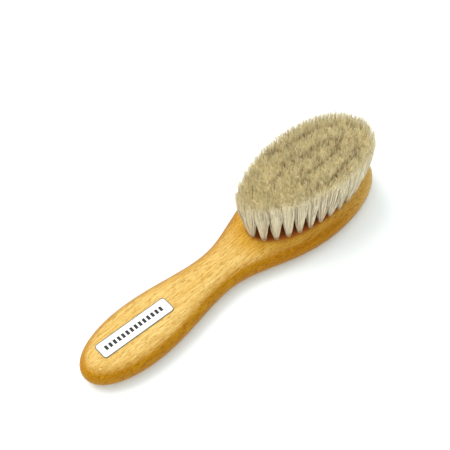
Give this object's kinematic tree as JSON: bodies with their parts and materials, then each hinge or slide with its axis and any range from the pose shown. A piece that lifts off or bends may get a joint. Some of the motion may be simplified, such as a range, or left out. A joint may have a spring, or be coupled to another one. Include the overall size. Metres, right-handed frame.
{
  "type": "clothes brush",
  "caption": "Small one-piece wooden hand brush with a waisted handle and an oval head of soft animal-hair tufts, for dusting and smoothing fine cloth.",
  "frame": {"origin": "under the middle of the brush's length and width, on the plane that its back rests on", "axes": "+X from the handle end to the tip of the head, +Z out of the hair, +Y to the left when looking from the handle to the head with the hair up"},
  "size_m": [0.165, 0.042, 0.0382],
  "materials": {
    "beech_wood": "satin clear-lacquered beech, fine straight grain with short darker flecks",
    "label_film": "glossy white sticker",
    "goat_hair": "soft undyed hair, pale at the sides and beige-tan at the cut tips"
  },
  "bodies": {
    "root": {"wooden_body": "beech_wood", "label": "label_film", "hair_tuft_outer_01": "goat_hair", "hair_tuft_outer_02": "goat_hair", "hair_tuft_outer_03": "goat_hair", "hair_tuft_outer_04": "goat_hair", "hair_tuft_outer_05": "goat_hair", "hair_tuft_outer_06": "goat_hair", "hair_tuft_outer_07": "goat_hair", "hair_tuft_outer_08": "goat_hair", "hair_tuft_outer_09": "goat_hair", "hair_tuft_outer_10": "goat_hair", "hair_tuft_outer_11": "goat_hair", "hair_tuft_outer_12": "goat_hair", "hair_tuft_outer_13": "goat_hair", "hair_tuft_outer_14": "goat_hair", "hair_tuft_outer_15": "goat_hair", "hair_tuft_outer_16": "goat_hair", "hair_tuft_outer_17": "goat_hair", "hair_tuft_outer_18": "goat_hair", "hair_tuft_outer_19": "goat_hair", "hair_tuft_outer_20": "goat_hair", "hair_tuft_outer_21": "goat_hair", "hair_tuft_outer_22": "goat_hair", "hair_tuft_outer_23": "goat_hair", "hair_tuft_outer_24": "goat_hair", "hair_tuft_outer_25": "goat_hair", "hair_tuft_outer_26": "goat_hair", "hair_tuft_outer_27": "goat_hair", "hair_tuft_outer_28": "goat_hair", "hair_tuft_middle_01": "goat_hair", "hair_tuft_middle_02": "goat_hair", "hair_tuft_middle_03": "goat_hair", "hair_tuft_middle_04": "goat_hair", "hair_tuft_middle_05": "goat_hair", "hair_tuft_middle_06": "goat_hair", "hair_tuft_middle_07": "goat_hair", "hair_tuft_middle_08": "goat_hair", "hair_tuft_middle_09": "goat_hair", "hair_tuft_middle_10": "goat_hair", "hair_tuft_middle_11": "goat_hair", "hair_tuft_middle_12": "goat_hair", "hair_tuft_middle_13": "goat_hair", "hair_tuft_middle_14": "goat_hair", "hair_tuft_middle_15": "goat_hair", "hair_tuft_middle_16": "goat_hair", "hair_tuft_middle_17": "goat_hair", "hair_tuft_middle_18": "goat_hair", "hair_tuft_middle_19": "goat_hair", "hair_tuft_middle_20": "goat_hair", "hair_tuft_centre_01": "goat_hair", "hair_tuft_centre_02": "goat_hair", "hair_tuft_centre_03": "goat_hair", "hair_tuft_centre_04": "goat_hair", "hair_tuft_centre_05": "goat_hair", "hair_tuft_centre_06": "goat_hair", "hair_tuft_centre_07": "goat_hair"}
  },
  "joints": []
}
